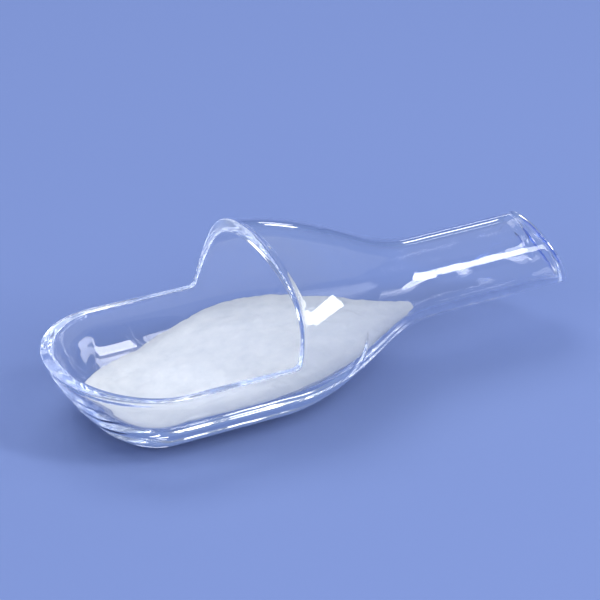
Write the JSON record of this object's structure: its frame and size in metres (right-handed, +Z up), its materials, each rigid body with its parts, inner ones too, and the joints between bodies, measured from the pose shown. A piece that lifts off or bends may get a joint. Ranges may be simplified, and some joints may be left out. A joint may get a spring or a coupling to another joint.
{
  "type": "weighing boat",
  "caption": "Blown glass weighing boat with an open flat-bottomed scoop, an arched hood and an obliquely cut pouring neck, holding dry powder.",
  "frame": {"origin": "centre of the bounding box, on the table the boat stands on", "axes": "+X from the round nose towards the spout, +Z up, the mid plane of the boat at y = 0"},
  "size_m": [0.0799, 0.0308, 0.0257],
  "materials": {
    "clear_glass": "clear blown glass with fire-polished edges",
    "white_powder": "dry fine white powder"
  },
  "bodies": {
    "root": {"glass_boat": "clear_glass", "powder": "white_powder"}
  },
  "joints": []
}
